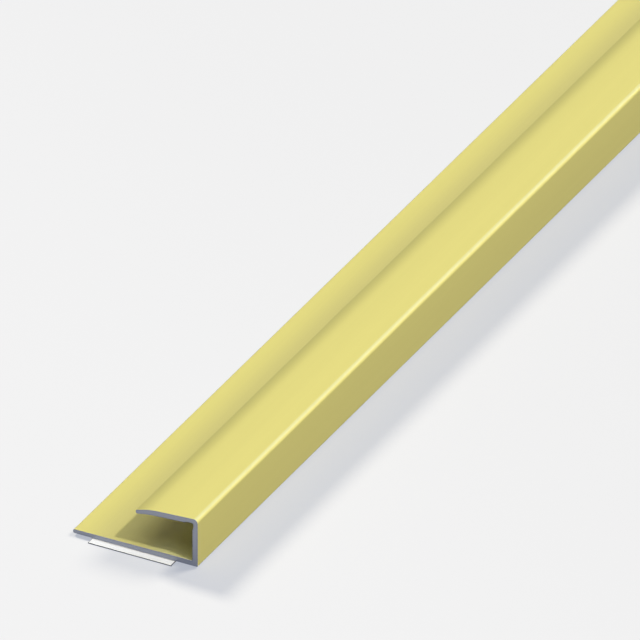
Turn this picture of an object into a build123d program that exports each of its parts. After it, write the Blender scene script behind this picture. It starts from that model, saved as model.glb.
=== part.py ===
from build123d import *
import math
import os

# A self-adhesive edging profile for floor panels: one aluminium extrusion with a strip of
# adhesive under its base and a release liner over the adhesive.
# The section lies in XZ and runs along Y. The toe of the base points to -X, the web stands
# at +X, and the cover lip reaches back over the base from the top of the web. The liner
# lies on the floor at Z = 0, and its pull tab sticks out past the -Y end.

# Stock length, in millimetres as all lengths here
LENGTH = 1000.0

# Base and web
BASE_WIDTH = 24.0        # toe of the base to the outer face of the web
HEIGHT = 9.3             # underside of the base to the top of the crown
WALL = 1.0               # web, flat of the lip, and base where it meets the web
TOE_THICKNESS = 0.75     # base at its free edge
HEEL_RADIUS = 0.25       # outer corner between base and web
ROOT_RADIUS = 0.2        # inner corner between base and web
CROWN_RADIUS = 0.8       # outer bend between web and lip

# Cover lip, with angles in degrees below the horizontal
LIP_REACH = 11.9         # outer face of the web to the free edge of the lip
LIP_FALL_ANGLE = 3.5     # flat of the lip, falling towards its free edge
TIP_FALL_ANGLE = 17.0    # turned-down edge of the lip
TIP_RUN = 2.6            # width of the turned-down edge
TIP_THICKNESS = 0.7      # lip at its free edge
KNEE_RADIUS = 9.0        # bend between the flat and the turned-down edge

# Relief in the inner corner between lip and web, which lets the lip spring
RELIEF_DEPTH = 0.18
RELIEF_LIP_RUN = 1.5     # from the inner face of the web, along the lip
RELIEF_WEB_RUN = 1.1     # from the underside of the lip, down the web
RELIEF_RAMP = 0.25       # length of the slope at each end of the relief
RELIEF_RADIUS = 0.4

# Radius of the rounded free edges of base and lip, as a share of their thickness
NOSE_ROUND_SHARE = 0.45

# Adhesive strip and its liner
STRIP_WIDTH = 16.0
STRIP_SETBACK = 3.65     # toe of the base to the strip
ADHESIVE_THICKNESS = 0.14
LINER_THICKNESS = 0.16
LINER_TAB = 1.4          # length of liner left sticking out to pull it off by

# Places in the part's frame: the box of the whole part is centred over the origin
toe_x = -BASE_WIDTH / 2
strip_x = toe_x + STRIP_SETBACK
far_end_y = (LENGTH + LINER_TAB) / 2
underside_z = LINER_THICKNESS + ADHESIVE_THICKNESS

# The lip's two flat faces, drawn on to the web, follow these slopes and heights.
# The crown's arc rises to HEIGHT, so the sharp corner outside it stands a little higher.
lip_fall = math.radians(LIP_FALL_ANGLE)
tip_fall = math.radians(TIP_FALL_ANGLE)
crown_corner_z = HEIGHT + CROWN_RADIUS * ((1 + math.sin(lip_fall)) / math.cos(lip_fall) - 1)


def lip_z(x, depth=0.0):
    """Height of the lip at x from the toe, at a depth below its flat upper face."""
    return crown_corner_z - (BASE_WIDTH - x) * math.tan(lip_fall) - depth / math.cos(lip_fall)


def web_corners():
    """Outer corners of base and web, from the toe's underside round to the crown."""
    toe_round = NOSE_ROUND_SHARE * TOE_THICKNESS
    return [
        ((0, 0), toe_round),
        ((BASE_WIDTH, 0), HEEL_RADIUS),
        ((BASE_WIDTH, crown_corner_z), CROWN_RADIUS),
    ]


def lip_corners():
    """Corners of the lip's turned-down edge, from its upper bend round to its lower bend."""
    tip_x = BASE_WIDTH - LIP_REACH
    knee_x = tip_x + TIP_RUN
    tip_z = lip_z(knee_x) - TIP_RUN * math.tan(tip_fall)
    tip_round = NOSE_ROUND_SHARE * TIP_THICKNESS
    return [
        ((knee_x, lip_z(knee_x)), KNEE_RADIUS),
        ((tip_x, tip_z), tip_round),
        ((tip_x, tip_z - TIP_THICKNESS), tip_round),
        ((knee_x, lip_z(knee_x, WALL)), KNEE_RADIUS),
    ]


def relief_corners():
    """Corners of the relief, from the lip's underside round to the web's inner face."""
    web_x = BASE_WIDTH - WALL
    floor_x = web_x + RELIEF_DEPTH
    floor_depth = WALL - RELIEF_DEPTH
    lip_edge_x = web_x - RELIEF_LIP_RUN
    lip_floor_x = lip_edge_x + RELIEF_RAMP
    web_edge_z = lip_z(web_x, WALL) - RELIEF_WEB_RUN
    return [
        ((lip_edge_x, lip_z(lip_edge_x, WALL)), 0),
        ((lip_floor_x, lip_z(lip_floor_x, floor_depth)), 0),
        ((floor_x, lip_z(floor_x, floor_depth)), RELIEF_RADIUS),
        ((floor_x, web_edge_z + RELIEF_RAMP), 0),
        ((web_x, web_edge_z), 0),
    ]


def base_corners():
    """Inner corners of the base, from the foot of the web back to the toe."""
    toe_round = NOSE_ROUND_SHARE * TOE_THICKNESS
    return [
        ((BASE_WIDTH - WALL, WALL), ROOT_RADIUS),
        ((0, TOE_THICKNESS), toe_round),
    ]


def extruded_profile():
    """The extrusion: its section is measured from the toe's underside, then drawn to length."""
    corners = web_corners() + lip_corners() + relief_corners() + base_corners()
    points = [point for point, radius in corners]
    radii = [radius for point, radius in corners]
    outline = FilletPolyline(*points, radius=radii, close=True)
    far_end = Plane(origin=(toe_x, far_end_y, underside_z), x_dir=(1, 0, 0), z_dir=(0, -1, 0))
    section = make_face(far_end * outline)
    return extrude(section, amount=LENGTH, dir=far_end.z_dir)


def strip(length, thickness, bottom_z):
    """A flat strip under the base, from the far end of the stock towards -Y."""
    block = Box(STRIP_WIDTH, length, thickness, align=(Align.MIN, Align.MAX, Align.MIN))
    return Pos(strip_x, far_end_y, bottom_z) * block


def adhesive_strip():
    """The adhesive, cut flush with both ends of the extrusion."""
    return strip(LENGTH, ADHESIVE_THICKNESS, LINER_THICKNESS)


def release_liner():
    """The liner, as wide as the adhesive and longer by its pull tab."""
    return strip(LENGTH + LINER_TAB, LINER_THICKNESS, 0)


os.makedirs("parts", exist_ok=True)
for piece in (extruded_profile, adhesive_strip, release_liner):
    export_step(piece(), f"parts/{piece.__name__}.step")
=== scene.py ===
import math

import bmesh
import bpy
from bpy.props import FloatProperty, FloatVectorProperty, PointerProperty
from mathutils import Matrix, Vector


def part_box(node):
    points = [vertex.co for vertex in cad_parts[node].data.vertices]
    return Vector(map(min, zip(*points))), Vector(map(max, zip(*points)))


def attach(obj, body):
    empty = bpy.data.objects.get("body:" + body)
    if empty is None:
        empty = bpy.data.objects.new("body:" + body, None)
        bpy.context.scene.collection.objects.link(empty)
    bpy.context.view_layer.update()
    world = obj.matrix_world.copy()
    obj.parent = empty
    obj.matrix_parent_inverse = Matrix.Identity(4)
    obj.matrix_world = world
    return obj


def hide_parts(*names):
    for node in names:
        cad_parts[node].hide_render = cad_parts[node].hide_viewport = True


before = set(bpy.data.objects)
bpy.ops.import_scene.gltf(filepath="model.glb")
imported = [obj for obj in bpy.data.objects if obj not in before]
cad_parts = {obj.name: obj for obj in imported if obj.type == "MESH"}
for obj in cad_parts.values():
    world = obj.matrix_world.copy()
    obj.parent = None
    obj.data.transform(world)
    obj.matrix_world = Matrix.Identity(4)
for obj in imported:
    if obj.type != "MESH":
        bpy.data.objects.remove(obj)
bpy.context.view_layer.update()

bl_info = {
    "name": "Floor Edging Profile",
    "version": (1, 0, 0),
    "blender": (4, 5, 0),
    "location": "3D View > Sidebar > Edging",
    "description": "Finishes a gold anodised edging profile with its adhesive strip and release liner",
    "category": "Object",
}

PROFILE_NODE = "extruded_profile"
ADHESIVE_NODE = "adhesive_strip"
LINER_NODE = "release_liner"
BODY = "root"
PROFILE_PIECE = "anodised_profile"
ADHESIVE_PIECE = "adhesive_film"
LINER_PIECE = "liner_paper"
MM = 0.001
WHITE = (1.0, 1.0, 1.0)
BLACK = (0.0, 0.0, 0.0)

# Marks on the corners of a section and on the rim of a sawn end
RADIUS_MARK = "corner_radius"
STEPS_MARK = "corner_steps"
RIM_MARK = "rim"

# Places of three corners in the list that section_corners gives
CROWN = 2
TIP_TOP = 4
TIP_BOTTOM = 5

# From this share of its normal along the stock, or across it, a face counts as cut
END_CUT = 0.7
END_FACE = 0.9
LINER_SIDE_CUT = 0.7
NO_SIDE_CUT = 2.0

# Turns from which an edge is broken and from which it is shaded crisp
BROKEN_TURN = math.radians(70.0)
CRISP_TURN = math.radians(30.0)

# Points nearer than this along the stock, in metres, lie in the same cut
SAME_CUT = 1e-7

# Grains: the pitch across the stock, the stretch along it and, for some, the detail
DIE_LINES = (0.16 * MM, 400.0)
DYE_BANDS = (1.4 * MM, 150.0)
DYE_DRIFT = (45.0 * MM, 3.0)
ETCH = (0.05 * MM, 1.0)
SAW_SPECK = (0.2 * MM, 1.0)
LINER_FIBRE = (0.25 * MM, 2.5, 4.0)
SLIT_FIBRE = (0.12 * MM, 3.0)
ADHESIVE_CLOUD = (0.8 * MM, 4.0, 3.0)

# Where the painted highlight on the crown's bend fades in, as the sine and cosine of the turn
HIGHLIGHT_SINE = (0.0, 0.2)
HIGHLIGHT_COSINE = (0.6, 0.8)

# Share of the fade of the painted shade at the lip's edge that starts outside the edge
TIP_SHADE_OVERRUN = 0.1

# Saw marks and liner ribs. A ring wave of scale 1 repeats every RING_PERIOD.
BLADE_SHIFT = (0.09, 0.0, 0.12)
RING_PERIOD = 0.31
SAW_PITCH = 0.3 * MM
RIB_PITCH = 0.32 * MM
CRUSHED_RIM = 0.12 * MM

# Bake map: the strip of the sides, the rows of its broken edges and the two ends above it
BAKE_MAP = "OFBake"
STRIP_MARGIN = 0.002
STRIP_FOOT = 0.012
STRIP_HEAD = 0.788
BEVEL_ROW = 0.01
CAP_SHARE = 0.46
NEAR_CAP_LEFT = 0.02
FAR_CAP_LEFT = 0.52
CAP_FOOT = 0.81

# Stage: the floor's half width, its gap under the liner and the camera's reach, in metres
FLOOR_HALF = 60.0
FLOOR_GAP = 0.02 * MM
CAMERA_REACH = 200.0

# Direction in which each lamp lies, and the width of its disc in degrees
LAMP_PLACES = {
    "key": ((0.5553, -0.12, 0.8214), 3.0),
    "soft_box": ((0.555, -0.1, 0.826), 80.0),
    "top_lamp": ((0.22, 0.0, 0.975), 72.0),
    "back_lamp": ((0.5, 0.79, 0.355), 30.0),
    "glint_lamp": ((0.552, 0.76, 0.342), 35.0),
    "tab_lamp": ((0.1, -0.45, 0.89), 30.0),
    "floor_lamp": ((-0.635, 0.428, 0.643), 13.0),
    "end_lamp": ((0.453, 0.557, 0.696), 24.0),
}

profile_low, profile_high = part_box(PROFILE_NODE)


def length(name, description, millimetres):
    """A size that a user may change, in metres, with its default given in millimetres."""
    return FloatProperty(
        name=name,
        description=description,
        default=millimetres * MM,
        min=0.0,
        precision=5,
        unit="LENGTH",
    )


def angle(name, description, degrees):
    """An angle that a user may change, with its default given in degrees."""
    return FloatProperty(
        name=name,
        description=description,
        default=math.radians(degrees),
        subtype="ANGLE",
    )


def colour(name, description, linear):
    """A colour that a user may change, with its default in linear light."""
    return FloatVectorProperty(
        name=name,
        description=description,
        default=linear,
        min=0.0,
        max=1.0,
        subtype="COLOR",
    )


def factor(name, description, value, top=1.0):
    """A plain number that a user may change."""
    return FloatProperty(name=name, description=description, default=value, min=0.0, max=top)


class SectionSizes(bpy.types.PropertyGroup):
    """Sizes of the extrusion's section. Its width, height and length come from the frame."""

    wall: length("Wall", "Thickness of the web, the flat of the lip and the heel of the base", 1.0)
    toe_thickness: length("Toe", "Thickness of the base at its free edge", 0.75)
    heel_radius: length("Heel radius", "Outer corner between base and web", 0.25)
    root_radius: length("Root radius", "Inner corner between base and web", 0.2)
    crown_radius: length("Crown radius", "Outer bend between web and lip", 0.8)
    lip_reach: length("Lip reach", "Outer face of the web to the free edge of the lip", 11.9)
    lip_fall: angle("Lip fall", "Slope of the flat of the lip towards its free edge", 3.5)
    tip_fall: angle("Tip fall", "Slope of the turned-down edge of the lip", 17.0)
    tip_run: length("Tip run", "Width of the turned-down edge of the lip", 2.6)
    tip_thickness: length("Tip thickness", "Thickness of the lip at its free edge", 0.7)
    knee_radius: length("Knee radius", "Bend between the flat and the turned-down edge", 13.0)
    relief_depth: length("Relief depth", "Depth of the relief in the corner under the lip", 0.18)
    relief_lip_run: length("Relief on lip", "Length of the relief along the lip", 1.5)
    relief_web_run: length("Relief on web", "Length of the relief down the web", 1.1)
    relief_ramp: length("Relief ramp", "Slope at each end of the relief", 0.25)
    relief_radius: length("Relief radius", "Bend in the corner of the relief", 0.4)
    nose_share: factor("Nose share", "Radius of the free edges as a share of their thickness", 0.45)
    arc_step: angle("Arc step", "Largest turn between two facets of a bend", 4.0)
    cut_chamfer: length("Cut chamfer", "Width of the broken edge round each sawn end", 0.04)
    cut_rim: length("Cut rim", "Width of the darker rim round each sawn end", 0.16)


class StripSizes(bpy.types.PropertyGroup):
    """Sizes of the strips under the base that the frame doesn't give."""

    edge_radius: length("Edge radius", "Rounding of the long edges of adhesive and liner", 0.03)
    cut_chamfer: length("Cut chamfer", "Width of the broken edge round each cut end", 0.01)


class Finish(bpy.types.PropertyGroup):
    """Colours and gloss of the surfaces."""

    gold: colour("Gold", "Dyed anodic layer", (0.84, 0.765, 0.242))
    # Painted highlight: a paler base colour on the upper half of the crown's bend
    painted_highlight_gold: colour("Bend", "Paler dye on the crown's bend", (0.79, 0.755, 0.345))
    # Painted shade: a deeper base colour at the lip's free edge
    painted_tip_shade_tint: colour("Tip tint", "How the dye deepens at the free edge of the lip", (0.79, 0.79, 0.73))
    painted_tip_shade_width: length("Tip fade", "Width of the deeper dye at the free edge of the lip", 3.5)
    # Painted shade: the base colour deepens on the base under the lip, where the lip shades it
    painted_channel_shade_tint: colour("Channel tint", "How the dye deepens under the lip", (0.89, 0.89, 1.0))
    painted_channel_shade_start: length("Channel start", "From the toe to where the base's dye starts to deepen", 1.0)
    painted_channel_shade_full: length("Channel full", "From the toe to where the base's dye is deepest", 6.5)
    # Painted shade: a duller, greyer base colour in the depth of the channel, where it lies in shade
    painted_depth_shade_gold: colour("Depth", "Duller dye in the depth of the channel", (0.8, 0.768, 0.35))
    gold_metallic: factor("Gold metal", "How far the anodised skin reflects as bare metal", 0.06)
    gold_roughness: factor("Gold roughness", "Micro-roughness of the etched, anodised skin", 0.5)
    gold_sheen: factor("Gold sheen", "Clear reflection of the sealed anodic layer", 0.05)
    gold_seal: factor("Gold seal", "Clear seal over the dyed layer", 0.25)
    gold_seal_roughness: factor("Seal roughness", "Micro-roughness of the clear seal", 0.33)
    sawn_metal: colour("Sawn metal", "Bare aluminium at the sawn ends", (0.29, 0.31, 0.367))
    sawn_rim: colour("Sawn rim", "Burnished rim of the sawn ends", (0.235, 0.255, 0.36))
    liner_white: colour("Liner", "Face of the release liner", (0.92, 0.92, 0.92))
    liner_rim: colour("Liner rim", "Crushed rim along the slit edges of the liner", (0.3, 0.3, 0.3))
    liner_edge: colour("Liner edge", "Slit edges of the release liner", (0.02, 0.02, 0.021))
    adhesive: colour("Adhesive", "Milky adhesive film", (0.80, 0.79, 0.75))


class StageSettings(bpy.types.PropertyGroup):
    """Camera, lamps and floor."""

    azimuth: angle("Azimuth", "Camera's bearing round the part", 27.895)
    elevation: angle("Elevation", "Camera's height above the horizon", 31.031)
    distance: length("Distance", "Camera to the point that it aims at", 5000.0)
    frame_width: length("Frame width", "Width of the view at the point aimed at", 109.985)
    aim_from_toe: length("Aim from toe", "Point aimed at, across the base from the toe", 4.298)
    aim_from_end: length("Aim from end", "Point aimed at, along the base from the near end", 81.535)
    key_strength: factor("Key", "Strength of the main lamp, which draws the lip's shadow", 1.29, 20.0)
    soft_strength: factor("Soft box", "Strength of the wide lamp behind the key", 0.3, 20.0)
    back_strength: factor("Back lamp", "Strength of the low lamp beyond the far end", 0.96, 20.0)
    top_strength: factor("Top lamp", "Strength of the lamp overhead", 1.3, 20.0)
    glint_strength: factor("Glint lamp", "Strength of the lamp that only shows as a glint", 0.95, 20.0)
    tab_strength: factor("Tab lamp", "Strength of the lamp that fills the liner's tab", 0.95, 20.0)
    warm: colour("Warm", "Tint of key, soft box and back lamp", (1.0, 0.965, 0.905))
    cool: colour("Cool", "Tint of top lamp and tab lamp", (0.975, 1.0, 1.0))
    floor_strength: factor("Floor lamp", "Strength of the lamp for the web's shadow", 4.67, 20.0)
    end_strength: factor("End lamp", "Strength of the lamp for the near end's shadow", 3.16, 20.0)
    sky_strength: factor("Sky", "Soft light from all round", 0.03, 20.0)
    backdrop_strength: factor("Backdrop", "Pale surroundings that metal and camera see", 0.9, 20.0)
    floor_lit: colour("Floor", "How the pale card takes the floor lamps", (0.2535, 0.2366, 0.1988))
    floor_shade: colour("Floor shade", "The pale card in full shadow", (0.4337, 0.4609, 0.5268))
    # Painted falloff of light in the card's colour and glow
    falloff_bearing: angle("Falloff bearing", "Way in which the card dims, from +Y", 34.68)
    falloff_middle: length("Falloff middle", "From the toe's near corner to the half-way tone", 68.09)
    falloff_width: length("Falloff width", "How gently the card dims about that tone", 50.0)
    falloff_gain: factor("Falloff gain", "How much brighter the card is before it dims", 0.05)


class EdgingSettings(bpy.types.PropertyGroup):
    """All that the operators read."""

    section: PointerProperty(type=SectionSizes, name="Section", description="Extrusion's section")
    strips: PointerProperty(type=StripSizes, name="Strips", description="Strips under the base")
    finish: PointerProperty(type=Finish, name="Finish", description="Colours and gloss")
    stage: PointerProperty(type=StageSettings, name="Stage", description="Camera, lamps and floor")


class Wire:
    """A node's output that Python's operators work on, each adding one Math node."""

    def __init__(self, bench, socket):
        self.bench = bench
        self.socket = socket

    def math(self, operation, first, second=0.0):
        settings = {"operation": operation}
        return self.bench.add("ShaderNodeMath", settings, {0: first, 1: second}).out("Value")

    def __add__(self, other):
        return self.math("ADD", self, other)

    def __sub__(self, other):
        return self.math("SUBTRACT", self, other)

    def __rsub__(self, other):
        return self.math("SUBTRACT", other, self)

    def __mul__(self, other):
        return self.math("MULTIPLY", self, other)

    def __gt__(self, other):
        return self.math("GREATER_THAN", self, other)

    def __abs__(self):
        return self.math("ABSOLUTE", self)

    def sine(self):
        return self.math("SINE", self)

    def arctangent(self):
        return self.math("ARCTANGENT", self)

    __radd__ = __add__
    __rmul__ = __mul__


class Made:
    """A node that has been added, with its outputs as wires."""

    def __init__(self, bench, node):
        self.bench = bench
        self.node = node

    def out(self, name):
        return Wire(self.bench, pick(self.node.outputs, name))


def pick(sockets, key):
    """A socket by its number, its identifier or its name, in that order."""
    if isinstance(key, int):
        return sockets[key]
    named = [s for s in sockets if s.identifier == key] or [s for s in sockets if s.name == key]
    return named[0]


class Bench:
    """Adds nodes to one tree, shader or geometry."""

    def __init__(self, tree):
        self.tree = tree
        tree.nodes.clear()

    def add(self, kind, settings=None, inputs=None):
        node = self.tree.nodes.new(kind)
        for name, value in (settings or {}).items():
            setattr(node, name, value)
        for key, value in (inputs or {}).items():
            socket = pick(node.inputs, key)
            if isinstance(value, Wire):
                self.tree.links.new(value.socket, socket)
            else:
                socket.default_value = value
        return Made(self, node)

    def ramp(self, value, start, end):
        """0 up to start and 1 from end on, with a soft step between."""
        settings = {"interpolation_type": "SMOOTHSTEP"}
        span = {"Value": value, "From Min": start, "From Max": end}
        return self.add("ShaderNodeMapRange", settings, span).out("Result")

    def mix(self, share, first, second, blend="MIX"):
        """A colour between two others, or a share of another blend of them."""
        settings = {"data_type": "RGBA", "blend_type": blend, "clamp_factor": False}
        inputs = {"Factor_Float": share, "A_Color": first, "B_Color": second}
        return self.add("ShaderNodeMix", settings, inputs).out("Result_Color")


def opaque(rgb):
    """A colour property as the four numbers that a socket takes."""
    return (*rgb, 1.0)


def shade(rgb, share):
    """A colour property made paler or deeper by a share, for a socket."""
    return opaque([min(1.0, share * c) for c in rgb])


def swing(grain_value, reach):
    """A grain's swing to either side of its middle, scaled to a reach."""
    return reach * (grain_value - 0.5)


def relief(bench, height, strength, depth):
    """The normal of a surface with fine relief."""
    inputs = {"Strength": strength, "Distance": depth, "Height": height}
    return bench.add("ShaderNodeBump", None, inputs).out("Normal")


def new_material(name):
    """A material with an empty bench for its nodes."""
    material = bpy.data.materials.new(name)
    material.use_nodes = True
    return material, Bench(material.node_tree)


def grain(bench, place, pitch, stretch, detail=2.0):
    """Noise with the given pitch across the stock, drawn out along its length by stretch."""
    settings = {"vector_type": "POINT"}
    across = {"Vector": place, "Scale": (1.0, 1.0 / stretch, 1.0)}
    drawn = bench.add("ShaderNodeMapping", settings, across).out("Vector")
    inputs = {"Vector": drawn, "Scale": 1.0 / pitch, "Detail": detail}
    return bench.add("ShaderNodeTexNoise", {"noise_dimensions": "3D"}, inputs).out("Fac")


def object_place(bench):
    """Where a surface point is, in the part's own frame."""
    return bench.add("ShaderNodeTexCoord").out("Object")


def surface(bench, inputs):
    """A Principled surface, joined to the material's output."""
    shader = bench.add("ShaderNodeBsdfPrincipled", None, inputs)
    bench.add("ShaderNodeOutputMaterial", None, {"Surface": shader.out("BSDF")})


def section_corners(sizes):
    """Corners of the extrusion's section, each with its radius, from the toe's underside on."""
    base_width = profile_high.x - profile_low.x
    height = profile_high.z - profile_low.z
    slope = math.tan(sizes.lip_fall)
    square = math.cos(sizes.lip_fall)
    crown_z = height + sizes.crown_radius * ((1 + math.sin(sizes.lip_fall)) / square - 1)
    toe_round = sizes.nose_share * sizes.toe_thickness
    tip_round = sizes.nose_share * sizes.tip_thickness

    def lip_z(x, depth=0.0):
        return crown_z - (base_width - x) * slope - depth / square

    tip_x = base_width - sizes.lip_reach
    knee_x = tip_x + sizes.tip_run
    tip_z = lip_z(knee_x) - sizes.tip_run * math.tan(sizes.tip_fall)
    web_x = base_width - sizes.wall
    floor_x = web_x + sizes.relief_depth
    floor_depth = sizes.wall - sizes.relief_depth
    lip_edge_x = web_x - sizes.relief_lip_run
    lip_floor_x = lip_edge_x + sizes.relief_ramp
    web_edge_z = lip_z(web_x, sizes.wall) - sizes.relief_web_run
    corners = [
        ((0.0, 0.0), toe_round),
        ((base_width, 0.0), sizes.heel_radius),
        ((base_width, crown_z), sizes.crown_radius),
        ((knee_x, lip_z(knee_x)), sizes.knee_radius),
        ((tip_x, tip_z), tip_round),
        ((tip_x, tip_z - sizes.tip_thickness), tip_round),
        ((knee_x, lip_z(knee_x, sizes.wall)), sizes.knee_radius),
        ((lip_edge_x, lip_z(lip_edge_x, sizes.wall)), 0.0),
        ((lip_floor_x, lip_z(lip_floor_x, floor_depth)), 0.0),
        ((floor_x, lip_z(floor_x, floor_depth)), sizes.relief_radius),
        ((floor_x, web_edge_z + sizes.relief_ramp), 0.0),
        ((web_x, web_edge_z), 0.0),
        ((web_x, sizes.wall), sizes.root_radius),
        ((0.0, sizes.toe_thickness), toe_round),
    ]
    return [((profile_low.x + x, profile_low.z + z), radius) for (x, z), radius in corners]


def strip_corners(node, radius):
    """Corners of a flat strip's section, from the box of its node."""
    low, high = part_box(node)
    places = [(low.x, low.z), (high.x, low.z), (high.x, high.z), (low.x, high.z)]
    return [(place, radius) for place in places]


def painted_light_masks(bench, place, finish, sizes):
    """Masks of painted light: a painted highlight on the crown's upper bend, and painted shade at the
    lip's free edge, in the channel under it and in its depth.

    A line through the middle of the lip, from its free edge to the crown, parts over from under.
    """
    corners = [corner for corner, radius in section_corners(sizes)]
    crown_x, crown_z = corners[CROWN]
    tip_x, tip_top = corners[TIP_TOP]
    tip_z = 0.5 * (tip_top + corners[TIP_BOTTOM][1])
    slope = (crown_z - 0.5 * sizes.wall - tip_z) / (crown_x - tip_x)
    at = bench.add("ShaderNodeSeparateXYZ", None, {"Vector": place})
    x = at.out("X")
    z = at.out("Z")
    sine = (x - (profile_high.x - sizes.crown_radius)) * (1.0 / sizes.crown_radius)
    cosine = (z - (profile_high.z - sizes.crown_radius)) * (1.0 / sizes.crown_radius)
    # Painted highlight on the upper half of the crown's bend
    bend = bench.ramp(sine, *HIGHLIGHT_SINE) * bench.ramp(cosine, *HIGHLIGHT_COSINE)
    over_lip = z - slope * x > tip_z - slope * tip_x
    # Painted shade at the lip's free edge
    tip_start = tip_x - TIP_SHADE_OVERRUN * finish.painted_tip_shade_width
    tip = over_lip * (1.0 - bench.ramp(x, tip_start, tip_x + finish.painted_tip_shade_width))
    outside = x > crown_x - 0.5 * sizes.wall
    # Painted shade in the channel under the lip, deepening from the toe inwards
    start = profile_low.x + finish.painted_channel_shade_start
    full = profile_low.x + finish.painted_channel_shade_full
    under_lip = (1.0 - over_lip) * (1.0 - outside)
    channel = under_lip * bench.ramp(x, start, full)
    # Painted shade colour in the depth of the channel
    depth = under_lip * bench.ramp(x, tip_x, 0.5 * (tip_x + crown_x))
    return bend, tip, channel, depth


def anodised_skin(finish, sizes):
    """Etched and dyed aluminium: fine die lines along the stock and a slow drift of its colour.

    Painted light in the base colour: a paler painted highlight on the upper half of the crown's
    tight bend, deeper painted shade at the free edge of the lip and in the channel under it, and a
    duller painted shade colour in the depth of the channel.
    """
    material, bench = new_material("gold_anodised_skin")
    place = object_place(bench)
    die_lines = grain(bench, place, *DIE_LINES)
    bands = grain(bench, place, *DYE_BANDS)
    drift = grain(bench, place, *DYE_DRIFT)
    etch = grain(bench, place, *ETCH)
    tone = 0.5 + swing(die_lines, 0.5) + swing(bands, 0.55) + swing(drift, 0.5)
    flat = bench.mix(tone, shade(finish.gold, 0.955), shade(finish.gold, 1.035))
    bend, tip, channel, depth = painted_light_masks(bench, place, finish, sizes)
    # Painted highlight: the paler base colour on the crown's bend
    dye_and_painted_light = bench.mix(bend, flat, opaque(finish.painted_highlight_gold))
    # Painted shade: the base colour deepened at the lip's free edge
    dye_and_painted_light = bench.mix(tip, dye_and_painted_light, opaque(finish.painted_tip_shade_tint), "MULTIPLY")
    # Painted shade: the base colour deepened in the channel under the lip
    dye_and_painted_light = bench.mix(channel, dye_and_painted_light, opaque(finish.painted_channel_shade_tint), "MULTIPLY")
    # Painted shade: the duller colour in the depth of the channel
    dye_and_painted_light = bench.mix(depth, dye_and_painted_light, opaque(finish.painted_depth_shade_gold))
    roughness = finish.gold_roughness + swing(die_lines, 0.12) + swing(drift, 0.1)
    surface(
        bench,
        {
            "Base Color": dye_and_painted_light,
            "Metallic": finish.gold_metallic,
            "Specular IOR Level": finish.gold_sheen,
            "Coat Weight": finish.gold_seal,
            "Coat Roughness": finish.gold_seal_roughness,
            "Roughness": roughness,
            "Normal": relief(bench, die_lines + 0.35 * etch, strength=0.06, depth=0.02 * MM),
        },
    )
    return material


def sawn_end(finish):
    """Bare aluminium with the arcs that a large saw blade leaves, and a burnished rim."""
    material, bench = new_material("sawn_aluminium")
    place = object_place(bench)
    blade = {"Vector": place, "Location": BLADE_SHIFT}
    arcs = bench.add("ShaderNodeMapping", {"vector_type": "POINT"}, blade).out("Vector")
    marks = bench.add(
        "ShaderNodeTexWave",
        {"wave_type": "RINGS", "rings_direction": "Y", "wave_profile": "SIN"},
        {
            "Vector": arcs,
            "Scale": RING_PERIOD / SAW_PITCH,
            "Distortion": 1.5,
            "Detail": 2.0,
            "Detail Scale": 3.0,
        },
    ).out("Fac")
    speck = grain(bench, place, *SAW_SPECK)
    rim = bench.add("ShaderNodeAttribute", {"attribute_name": RIM_MARK}).out("Fac")
    tone = 0.55 * marks + 0.45 * speck
    metal = bench.mix(tone, shade(finish.sawn_metal, 0.88), shade(finish.sawn_metal, 1.12))
    surface(
        bench,
        {
            "Base Color": bench.mix(rim, metal, opaque(finish.sawn_rim)),
            "Metallic": 0.9,
            "Roughness": 0.42 + swing(speck, 0.16),
            "Normal": relief(bench, marks, strength=0.15, depth=0.02 * MM),
        },
    )
    return material


def liner_face(finish):
    """White silicone-coated paper with faint ribs along its length and crushed long rims."""
    material, bench = new_material("liner_paper")
    place = object_place(bench)
    low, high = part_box(LINER_NODE)
    at = bench.add("ShaderNodeSeparateXYZ", None, {"Vector": place})
    across = at.out("X") - 0.5 * (low.x + high.x)
    ribs = (across * (math.tau / RIB_PITCH)).sine()
    crushed = abs(across) > 0.5 * (high.x - low.x) - CRUSHED_RIM
    fibre = grain(bench, place, *LINER_FIBRE)
    tone = 0.5 + 0.22 * ribs + swing(fibre, 0.6)
    paper = bench.mix(tone, shade(finish.liner_white, 0.94), opaque(finish.liner_white))
    surface(
        bench,
        {
            "Base Color": bench.mix(crushed, paper, opaque(finish.liner_rim)),
            "Roughness": 0.38 + swing(fibre, 0.2),
            "Normal": relief(bench, fibre, strength=0.08, depth=0.01 * MM),
            "Coat Weight": 0.25,
            "Coat Roughness": 0.25,
        },
    )
    return material


def liner_slit(finish):
    """Slit edge of the liner: compressed dark paper."""
    material, bench = new_material("liner_slit_edge")
    fibre = grain(bench, object_place(bench), *SLIT_FIBRE)
    paper = bench.mix(fibre, shade(finish.liner_edge, 0.75), shade(finish.liner_edge, 1.35))
    surface(bench, {"Base Color": paper, "Roughness": 0.8 + swing(fibre, 0.2)})
    return material


def adhesive_film(finish):
    """Milky acrylic adhesive with a slightly uneven surface."""
    material, bench = new_material("adhesive_film")
    cloud = grain(bench, object_place(bench), *ADHESIVE_CLOUD)
    surface(
        bench,
        {
            "Base Color": bench.mix(cloud, shade(finish.adhesive, 0.93), opaque(finish.adhesive)),
            "Roughness": 0.35 + swing(cloud, 0.2),
        },
    )
    return material


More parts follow.
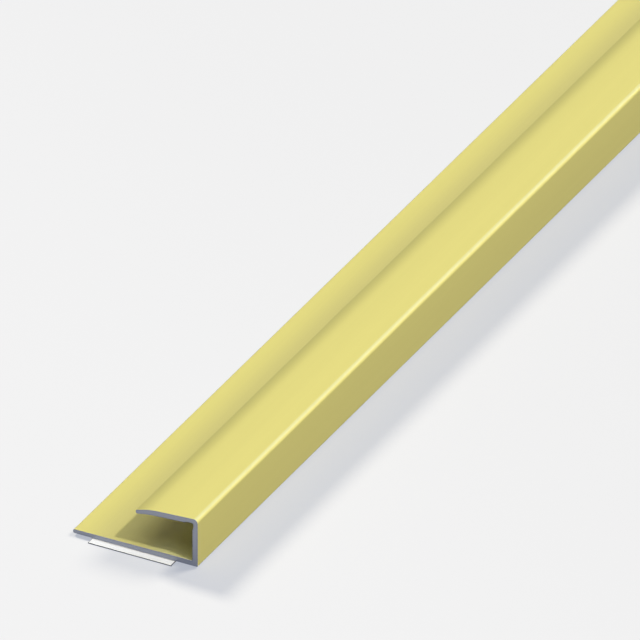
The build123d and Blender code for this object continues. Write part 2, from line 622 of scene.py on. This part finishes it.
def outline_mesh(name, corners, arc_step):
    """A closed loop of corners in XY, each marked with its radius and its count of facets.

    A section swept along +Y turns its own -Y to +Z, so heights are laid out downwards.
    """
    places = [Vector(place) for place, radius in corners]
    mesh = bpy.data.meshes.new(name)
    count = len(places)
    edges = [(i, (i + 1) % count) for i in range(count)]
    mesh.from_pydata([(x, -z, 0.0) for x, z in places], edges, [])
    radii = mesh.attributes.new(RADIUS_MARK, "FLOAT", "POINT")
    steps = mesh.attributes.new(STEPS_MARK, "INT", "POINT")
    for i, (place, radius) in enumerate(corners):
        arriving = places[i] - places[i - 1]
        leaving = places[(i + 1) % count] - places[i]
        turn = arriving.angle(leaving)
        radii.data[i].value = radius
        steps.data[i].value = math.ceil(turn / arc_step) if radius > 0 else 0
    return mesh


def drawing_tree():
    """Geometry Nodes that round a section's corners and draw it to length, with closed ends."""
    tree = bpy.data.node_groups.new("drawn_section", "GeometryNodeTree")
    bench = Bench(tree)
    inputs = {
        "Geometry": "NodeSocketGeometry",
        "Near End": "NodeSocketFloat",
        "Far End": "NodeSocketFloat",
        "Side Cut Limit": "NodeSocketFloat",
        "Skin": "NodeSocketMaterial",
        "Cut": "NodeSocketMaterial",
    }
    for name, kind in inputs.items():
        tree.interface.new_socket(name, in_out="INPUT", socket_type=kind)
    tree.interface.new_socket("Geometry", in_out="OUTPUT", socket_type="NodeSocketGeometry")
    given = bench.add("NodeGroupInput")

    mark = "GeometryNodeInputNamedAttribute"
    radius = bench.add(mark, {"data_type": "FLOAT"}, {"Name": RADIUS_MARK})
    steps = bench.add(mark, {"data_type": "INT"}, {"Name": STEPS_MARK})
    sharp = bench.add("GeometryNodeMeshToCurve", None, {"Mesh": given.out("Geometry")})
    section = bench.add(
        "GeometryNodeFilletCurve",
        {"mode": "POLY"},
        {
            "Curve": sharp.out("Curve"),
            "Radius": radius.out("Attribute"),
            "Count": steps.out("Attribute"),
        },
    )
    start = bench.add("ShaderNodeCombineXYZ", None, {"Y": given.out("Near End")}).out("Vector")
    end = bench.add("ShaderNodeCombineXYZ", None, {"Y": given.out("Far End")}).out("Vector")
    ends = {"Start": start, "End": end}
    line = bench.add("GeometryNodeCurvePrimitiveLine", {"mode": "POINTS"}, ends)
    upright = bench.add("GeometryNodeSetCurveNormal", {"mode": "Z_UP"}, {"Curve": line.out("Curve")})
    drawn = bench.add(
        "GeometryNodeCurveToMesh",
        None,
        {"Curve": upright.out("Curve"), "Profile Curve": section.out("Curve"), "Fill Caps": True},
    )
    normal = bench.add("GeometryNodeInputNormal").out("Normal")
    facing = bench.add("ShaderNodeSeparateXYZ", None, {"Vector": normal})
    at_end = abs(facing.out("Y")) > END_CUT
    at_side = abs(facing.out("X")) > given.out("Side Cut Limit")
    whole = bench.add("GeometryNodeRealizeInstances", None, {"Geometry": drawn.out("Mesh")})
    skinned = bench.add(
        "GeometryNodeSetMaterial",
        None,
        {"Geometry": whole.out("Geometry"), "Material": given.out("Skin")},
    )
    cut = bench.add(
        "GeometryNodeSetMaterial",
        None,
        {
            "Geometry": skinned.out("Geometry"),
            "Selection": at_end + at_side,
            "Material": given.out("Cut"),
        },
    )
    bench.add("NodeGroupOutput", None, {"Geometry": cut.out("Geometry")})
    return tree


def set_input(modifier, name, value):
    """Sets a Geometry Nodes modifier's input by the identifier of its socket."""
    sockets = modifier.node_group.interface.items_tree
    socket = next(s for s in sockets if s.name == name and s.in_out == "INPUT")
    modifier[socket.identifier] = value


def draw_section(name, node, corners, skin, cut, chamfer, side_cut_limit=NO_SIDE_CUT, rim=0.0):
    """A piece drawn from a section along its node's length, as a plain mesh at the origin."""
    low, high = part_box(node)
    sizes = bpy.context.scene.edging.section
    rough = bpy.data.objects.new(name, outline_mesh(name + "_outline", corners, sizes.arc_step))
    bpy.context.scene.collection.objects.link(rough)
    drawing = rough.modifiers.new("drawing", "NODES")
    drawing.node_group = bpy.data.node_groups.get("drawn_section") or drawing_tree()
    inputs = {
        "Near End": low.y,
        "Far End": high.y,
        "Side Cut Limit": side_cut_limit,
        "Skin": skin,
        "Cut": cut,
    }
    for label, value in inputs.items():
        set_input(drawing, label, value)
    bevel = rough.modifiers.new("broken_edge", "BEVEL")
    bevel.width = chamfer
    bevel.segments = 1
    bevel.limit_method = "ANGLE"
    bevel.angle_limit = BROKEN_TURN
    depsgraph = bpy.context.evaluated_depsgraph_get()
    mesh = bpy.data.meshes.new_from_object(rough.evaluated_get(depsgraph), depsgraph=depsgraph)
    mesh.name = name
    rough.modifiers.clear()
    rough.data = mesh
    if not mesh.polygons:
        raise RuntimeError(f"{name} came out empty")
    dress_mesh(mesh, rim)
    unroll(mesh)
    return rough


def is_end(face):
    """Whether a face closes an end of the stock."""
    return abs(face.normal.y) > END_FACE


def vertices_of(faces):
    """The vertices of some faces, each once."""
    return {vertex for face in faces for vertex in face.verts}


def dress_mesh(mesh, rim_width):
    """Turns faces outward, keeps edges crisp and marks the rim of each sawn end."""
    shape = bmesh.new()
    shape.from_mesh(mesh)
    bmesh.ops.recalc_face_normals(shape, faces=shape.faces)
    rim = shape.verts.layers.float.new(RIM_MARK)
    ends = [face for face in shape.faces if is_end(face)]
    for vertex in vertices_of(ends):
        vertex[rim] = 1.0
    if rim_width > 0:
        bmesh.ops.inset_individual(shape, faces=ends, thickness=rim_width, use_even_offset=True)
        for vertex in vertices_of(ends):
            vertex[rim] = 0.0
    for face in shape.faces:
        face.smooth = True
    for edge in shape.edges:
        low, high = edge.verts
        across = abs(low.co.y - high.co.y) < SAME_CUT
        edge.smooth = not across and edge.calc_face_angle(0.0) < CRISP_TURN
    shape.to_mesh(mesh)
    shape.free()


def sides_in_order(shape, is_long):
    """The sides in their order round the section, each with its two long edges and its width."""
    face = next(face for face in shape.faces if any(is_long(edge) for edge in face.edges))
    edge = next(edge for edge in face.edges if is_long(edge))
    first = edge
    sides = []
    while not sides or edge != first:
        onward = next(e for e in face.edges if is_long(e) and e != edge)
        width = math.dist(edge.verts[0].co.xz, onward.verts[0].co.xz)
        sides.append((face, edge, onward, width))
        face = next(f for f in onward.link_faces if f != face)
        edge = onward
    return sides


def lay_broken_edge(places, bevel, rung, share, near):
    """Lays the broken edge at one end of a side in the row beside the strip."""
    foot = STRIP_FOOT if near else STRIP_HEAD
    rim = foot - BEVEL_ROW if near else foot + BEVEL_ROW
    for loop in bevel.loops:
        mates = [loop.vert] + [e.other_vert(loop.vert) for e in loop.vert.link_edges]
        mate = next(vertex for vertex in mates if vertex in rung.verts)
        loop[places].uv = (share[mate], foot if mate == loop.vert else rim)


def lay_ends(shape, places, low, high):
    """Lays both ends above the strip, the near one on the left."""
    scale = CAP_SHARE / (high.x - low.x)
    for face in shape.faces:
        if not is_end(face):
            continue
        left = NEAR_CAP_LEFT if face.normal.y < 0 else FAR_CAP_LEFT
        for loop in face.loops:
            across, up = (loop.vert.co - low).xz
            loop[places].uv = (left + scale * across, CAP_FOOT + scale * up)


def unroll(mesh):
    """Gives a mesh its bake map: the sides as one strip with the ends in a row above it.

    Across the strip goes round the section and up the strip goes along the stock, so that lines
    drawn along the stock stay sharp however long it is.
    """
    shape = bmesh.new()
    shape.from_mesh(mesh)
    places = shape.loops.layers.uv.new(BAKE_MAP)
    low = Vector([min(vertex.co[i] for vertex in shape.verts) for i in range(3)])
    high = Vector([max(vertex.co[i] for vertex in shape.verts) for i in range(3)])
    half_length = 0.5 * (high.y - low.y)

    def is_long(edge):
        return edge.calc_length() > half_length

    def is_near(vertex):
        return vertex.co.y < low.y + half_length

    sides = sides_in_order(shape, is_long)
    girth = sum(width for *_, width in sides)

    def across_strip(distance):
        return STRIP_MARGIN + (1 - 2 * STRIP_MARGIN) * distance / girth

    done = 0.0
    for face, edge, onward, width in sides:
        share = {vertex: across_strip(done) for vertex in edge.verts}
        share.update({vertex: across_strip(done + width) for vertex in onward.verts})
        for loop in face.loops:
            loop[places].uv = (share[loop.vert], STRIP_FOOT if is_near(loop.vert) else STRIP_HEAD)
        for rung in face.edges:
            if not is_long(rung):
                bevel = next(f for f in rung.link_faces if f != face)
                lay_broken_edge(places, bevel, rung, share, is_near(rung.verts[0]))
        done += width
    lay_ends(shape, places, low, high)
    shape.to_mesh(mesh)
    shape.free()


def add_piece(piece, node):
    """Fixes a finished piece to the frame in place of its node."""
    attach(piece, BODY)
    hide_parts(node)


class EDGING_OT_extrusion(bpy.types.Operator):
    """Draws the anodised extrusion with its sawn ends"""

    bl_idname = "edging.extrusion"
    bl_label = "Draw Extrusion"

    def execute(self, context):
        settings = context.scene.edging
        skin = anodised_skin(settings.finish, settings.section)
        cut = sawn_end(settings.finish)
        corners = section_corners(settings.section)
        piece = draw_section(
            PROFILE_PIECE,
            PROFILE_NODE,
            corners,
            skin,
            cut,
            settings.section.cut_chamfer,
            rim=settings.section.cut_rim,
        )
        add_piece(piece, PROFILE_NODE)
        return {"FINISHED"}


class EDGING_OT_adhesive(bpy.types.Operator):
    """Lays the adhesive film under the base"""

    bl_idname = "edging.adhesive"
    bl_label = "Lay Adhesive"

    def execute(self, context):
        settings = context.scene.edging
        film = adhesive_film(settings.finish)
        corners = strip_corners(ADHESIVE_NODE, settings.strips.edge_radius)
        chamfer = settings.strips.cut_chamfer
        piece = draw_section(ADHESIVE_PIECE, ADHESIVE_NODE, corners, film, film, chamfer)
        add_piece(piece, ADHESIVE_NODE)
        return {"FINISHED"}


class EDGING_OT_liner(bpy.types.Operator):
    """Lays the release liner over the adhesive, with its pull tab past the near end"""

    bl_idname = "edging.liner"
    bl_label = "Lay Liner"

    def execute(self, context):
        settings = context.scene.edging
        face = liner_face(settings.finish)
        slit = liner_slit(settings.finish)
        corners = strip_corners(LINER_NODE, settings.strips.edge_radius)
        chamfer = settings.strips.cut_chamfer
        piece = draw_section(LINER_PIECE, LINER_NODE, corners, face, slit, chamfer, LINER_SIDE_CUT)
        add_piece(piece, LINER_NODE)
        return {"FINISHED"}


def light_group(name, objects):
    """The objects that a lamp shines on."""
    group = bpy.data.collections.new(name)
    for item in objects:
        group.objects.link(item)
    return group


def add_sun(name, strength, tint, group):
    """A far lamp that shines on one group, from the direction that LAMP_PLACES gives."""
    toward, degrees = LAMP_PLACES[name]
    data = bpy.data.lights.new(name, "SUN")
    data.energy = strength
    data.color = tint
    data.angle = math.radians(degrees)
    lamp = bpy.data.objects.new(name, data)
    lamp.rotation_mode = "QUATERNION"
    lamp.rotation_quaternion = Vector(toward).to_track_quat("Z", "Y")
    lamp.light_linking.receiver_collection = group
    bpy.context.scene.collection.objects.link(lamp)
    return lamp


def seen_directly(bench):
    """1 for what the camera, a reflection or clear glass sees, and 0 for light on matt surfaces."""
    path = bench.add("ShaderNodeLightPath")
    seen = path.out("Is Camera Ray") + path.out("Is Glossy Ray") + path.out("Is Transmission Ray")
    return seen > 0.5


def add_floor(stage):
    """A large pale card just under the liner, with a painted falloff of light: its colour and glow dim
    very slightly to one side.
    """
    material, bench = new_material("pale_card")
    way = Vector((math.sin(stage.falloff_bearing), math.cos(stage.falloff_bearing), 0.0))
    ends = {0: object_place(bench), 1: way}
    along = bench.add("ShaderNodeVectorMath", {"operation": "DOT_PRODUCT"}, ends).out("Value")
    # Painted falloff of light: the card's colour and glow are a little brighter before the middle and
    # dim past it
    past = (along - (way.dot(profile_low) + stage.falloff_middle)) * (1.0 / stage.falloff_width)
    bright = 0.5 - (1.0 / math.pi) * past.arctangent()
    level = seen_directly(bench) * (1.0 + stage.falloff_gain * bright)
    lit = bench.mix(level, opaque(BLACK), opaque(stage.floor_lit))
    shaded = bench.mix(level, opaque(BLACK), opaque(stage.floor_shade))
    card = bench.add("ShaderNodeBsdfDiffuse", None, {"Color": lit})
    glow = bench.add("ShaderNodeEmission", None, {"Color": shaded})
    both = {0: card.out("BSDF"), 1: glow.out("Emission")}
    whole = bench.add("ShaderNodeAddShader", None, both)
    bench.add("ShaderNodeOutputMaterial", None, {"Surface": whole.out("Shader")})
    mesh = bpy.data.meshes.new("floor")
    corners = [(-1, -1), (1, -1), (1, 1), (-1, 1)]
    places = [(FLOOR_HALF * x, FLOOR_HALF * y, -FLOOR_GAP) for x, y in corners]
    mesh.from_pydata(places, [], [(0, 1, 2, 3)])
    mesh.materials.append(material)
    floor = bpy.data.objects.new("floor", mesh)
    bpy.context.scene.collection.objects.link(floor)
    return floor


def add_world(stage):
    """Even soft light, with pale surroundings for reflections."""
    world = bpy.data.worlds.new("studio")
    world.use_nodes = True
    bench = Bench(world.node_tree)
    seen = seen_directly(bench)
    strength = stage.sky_strength + (stage.backdrop_strength - stage.sky_strength) * seen
    sky = bench.add("ShaderNodeBackground", None, {"Color": opaque(WHITE), "Strength": strength})
    bench.add("ShaderNodeOutputWorld", None, {"Surface": sky.out("Background")})
    bpy.context.scene.world = world


def add_camera(stage):
    """A long-lens camera whose view is all but parallel."""
    aim = Vector(
        (
            profile_low.x + stage.aim_from_toe,
            profile_low.y + stage.aim_from_end,
            profile_low.z,
        )
    )
    level = math.cos(stage.elevation)
    back = Vector(
        (
            math.sin(stage.azimuth) * level,
            -math.cos(stage.azimuth) * level,
            math.sin(stage.elevation),
        )
    )
    data = bpy.data.cameras.new("camera")
    data.lens = data.sensor_width * stage.distance / stage.frame_width
    data.clip_end = CAMERA_REACH
    camera = bpy.data.objects.new("camera", data)
    camera.location = aim + back * stage.distance
    camera.rotation_mode = "QUATERNION"
    camera.rotation_quaternion = back.to_track_quat("Z", "Y")
    bpy.context.scene.collection.objects.link(camera)
    bpy.context.scene.camera = camera


class EDGING_OT_stage(bpy.types.Operator):
    """Sets the floor, the lamps, the surroundings and the camera"""

    bl_idname = "edging.stage"
    bl_label = "Set Stage"

    def execute(self, context):
        stage = context.scene.edging.stage
        floor = add_floor(stage)
        add_world(stage)
        pieces = [ob for ob in context.scene.objects if ob.type == "MESH" and ob != floor]
        on_part = light_group("lit_part", pieces)
        on_floor = light_group("lit_floor", [floor])
        on_tab = light_group("lit_tab", [ob for ob in pieces if ob.name == LINER_PIECE])
        add_sun("key", stage.key_strength, stage.warm, on_part)
        add_sun("soft_box", stage.soft_strength, stage.warm, on_part)
        add_sun("top_lamp", stage.top_strength, stage.cool, on_part)
        back = add_sun("back_lamp", stage.back_strength, stage.warm, on_part)
        back.visible_glossy = False
        glint = add_sun("glint_lamp", stage.glint_strength, WHITE, on_part)
        glint.visible_diffuse = False
        add_sun("tab_lamp", stage.tab_strength, stage.cool, on_tab)
        add_sun("floor_lamp", stage.floor_strength, WHITE, on_floor)
        add_sun("end_lamp", stage.end_strength, WHITE, on_floor)
        add_camera(stage)
        context.scene.view_settings.view_transform = "Standard"
        return {"FINISHED"}


class EDGING_PT_sidebar(bpy.types.Panel):
    """The profile's settings and the steps that make it"""

    bl_label = "Edging Profile"
    bl_space_type = "VIEW_3D"
    bl_region_type = "UI"
    bl_category = "Edging"

    def draw(self, context):
        settings = context.scene.edging
        for group in (settings.section, settings.strips, settings.finish, settings.stage):
            box = self.layout.box()
            for name in group.__annotations__:
                box.prop(group, name)
        for step in STEPS:
            self.layout.operator(step.bl_idname)


STEPS = (EDGING_OT_extrusion, EDGING_OT_adhesive, EDGING_OT_liner, EDGING_OT_stage)
GROUPS = (SectionSizes, StripSizes, Finish, StageSettings, EdgingSettings)
CLASSES = (*GROUPS, *STEPS, EDGING_PT_sidebar)


def register():
    for cls in CLASSES:
        bpy.utils.register_class(cls)
    bpy.types.Scene.edging = PointerProperty(type=EdgingSettings)


def unregister():
    del bpy.types.Scene.edging
    for cls in reversed(CLASSES):
        bpy.utils.unregister_class(cls)


def main():
    register()
    bpy.ops.edging.extrusion()
    bpy.ops.edging.adhesive()
    bpy.ops.edging.liner()
    bpy.ops.edging.stage()


if __name__ == "__main__":
    main()
